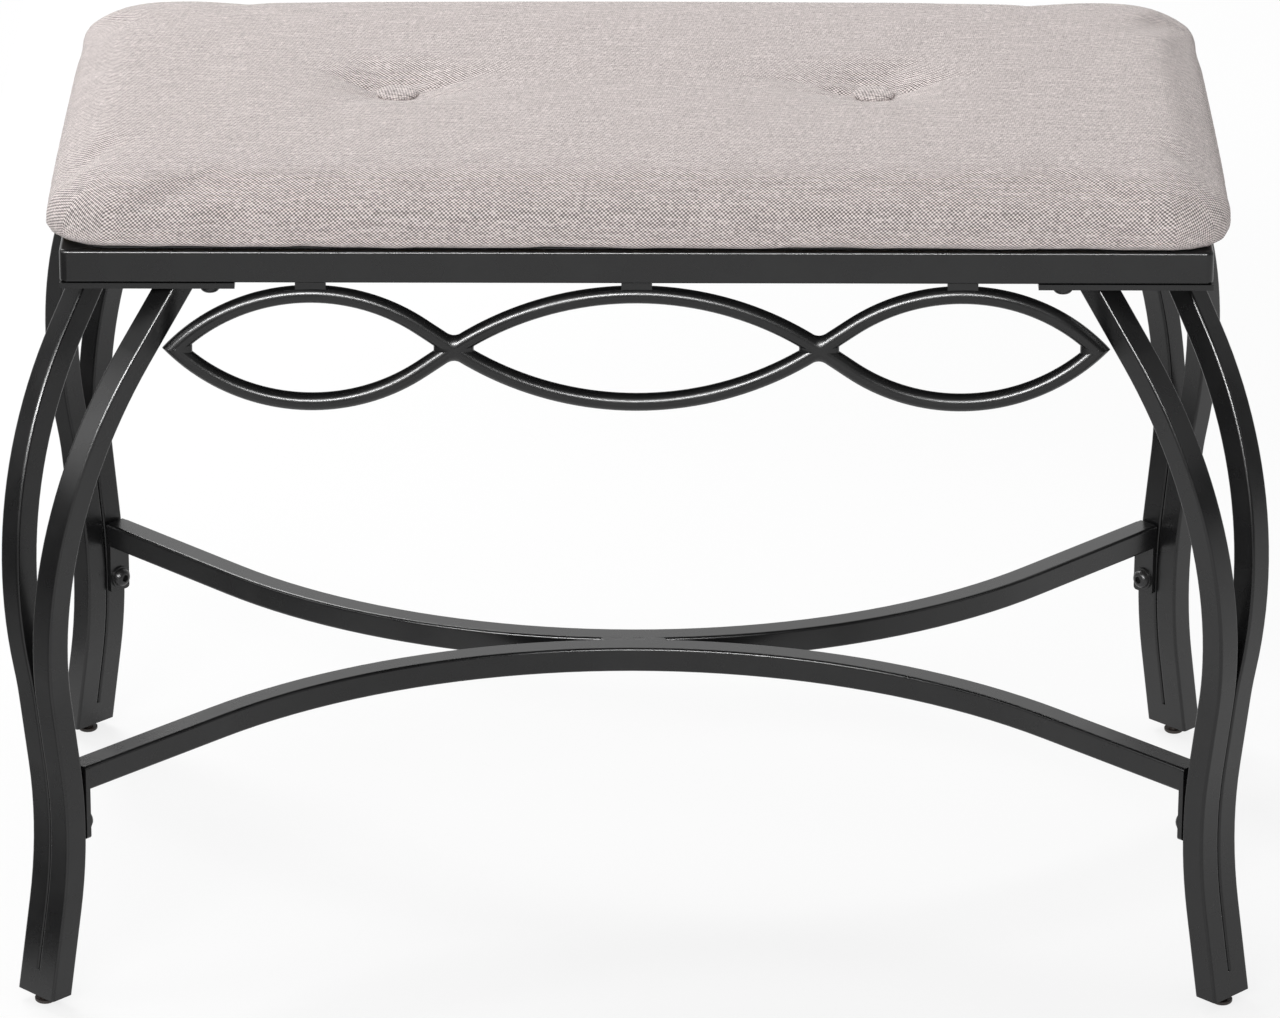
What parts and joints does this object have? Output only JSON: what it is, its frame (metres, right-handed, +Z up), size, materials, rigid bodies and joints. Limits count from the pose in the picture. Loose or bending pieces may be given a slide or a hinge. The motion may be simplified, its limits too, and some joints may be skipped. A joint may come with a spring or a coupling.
{
  "type": "entryway bench",
  "caption": "Upholstered entryway bench with a button-tufted cushion on a black steel frame with paired S-curved legs, a wave ornament under the long rails and bowed stretchers.",
  "frame": {"origin": "on the floor, below the middle of the bench", "axes": "+Z up, +X along the bench to the right as the picture shows it, -Y towards the pictured front"},
  "size_m": [0.6678, 0.3978, 0.4654],
  "materials": {
    "black_frame": "satin powder coat",
    "black_bolts": "black oxide",
    "zinc_steel": "zinc plated",
    "glide_plastic": "moulded",
    "woven_cover": "heathered weave",
    "seat_filling": "open-cell foam",
    "dust_cloth": "non-woven",
    "twine": "twisted",
    "plywood": "raw plywood"
  },
  "bodies": {
    "bench": {"back_rail": "black_frame", "back_stretcher": "black_frame", "back_wave_lower_left": "black_frame", "back_wave_lower_middle": "black_frame", "back_wave_lower_right": "black_frame", "back_wave_upper_left": "black_frame", "back_wave_upper_middle": "black_frame", "back_wave_upper_right": "black_frame", "corner_plate_back_left": "black_frame", "corner_plate_back_right": "black_frame", "corner_plate_front_left": "black_frame", "corner_plate_front_right": "black_frame", "dust_cover": "dust_cloth", "foot_block_back_left": "black_frame", "foot_block_back_right": "black_frame", "foot_block_front_left": "black_frame", "foot_block_front_right": "black_frame", "front_rail": "black_frame", "front_stretcher": "black_frame", "front_wave_lower_left": "black_frame", "front_wave_lower_middle": "black_frame", "front_wave_lower_right": "black_frame", "front_wave_upper_left": "black_frame", "front_wave_upper_middle": "black_frame", "front_wave_upper_right": "black_frame", "left_rail": "black_frame", "leg_tube_long_side_back_left": "black_frame", "leg_tube_long_side_back_right": "black_frame", "leg_tube_long_side_front_left": "black_frame", "leg_tube_long_side_front_right": "black_frame", "leg_tube_short_side_back_left": "black_frame", "leg_tube_short_side_back_right": "black_frame", "leg_tube_short_side_front_left": "black_frame", "leg_tube_short_side_front_right": "black_frame", "plate_bolts": "black_bolts", "plate_nuts": "zinc_steel", "right_rail": "black_frame", "seat_board": "plywood", "seat_cover": "woven_cover", "seat_foam": "seat_filling", "seat_lugs": "black_frame", "seat_screws": "zinc_steel", "stretcher_bolts": "black_bolts", "stretcher_nuts": "zinc_steel", "stretcher_tab_back_left": "black_frame", "stretcher_tab_back_right": "black_frame", "stretcher_tab_front_left": "black_frame", "stretcher_tab_front_right": "black_frame", "stretcher_washers": "black_bolts", "tuft_anchors": "zinc_steel", "tuft_button_left": "woven_cover", "tuft_button_right": "woven_cover", "tuft_ties": "twine", "wave_pads": "black_frame"},
    "glide_front_left": {"levelling_glide_front_left": "glide_plastic"},
    "glide_front_right": {"levelling_glide_front_right": "glide_plastic"},
    "glide_back_left": {"levelling_glide_back_left": "glide_plastic"},
    "glide_back_right": {"levelling_glide_back_right": "glide_plastic"}
  },
  "joints": [
    {"name": "level_front_left", "type": "slide", "parent": "bench", "child": "glide_front_left", "axis": [0, 0, 1], "range_m": [-0.004, 0.0034]},
    {"name": "level_front_right", "type": "slide", "parent": "bench", "child": "glide_front_right", "axis": [0, 0, 1], "range_m": [-0.004, 0.0034]},
    {"name": "level_back_left", "type": "slide", "parent": "bench", "child": "glide_back_left", "axis": [0, 0, 1], "range_m": [-0.004, 0.0034]},
    {"name": "level_back_right", "type": "slide", "parent": "bench", "child": "glide_back_right", "axis": [0, 0, 1], "range_m": [-0.004, 0.0034]}
  ]
}
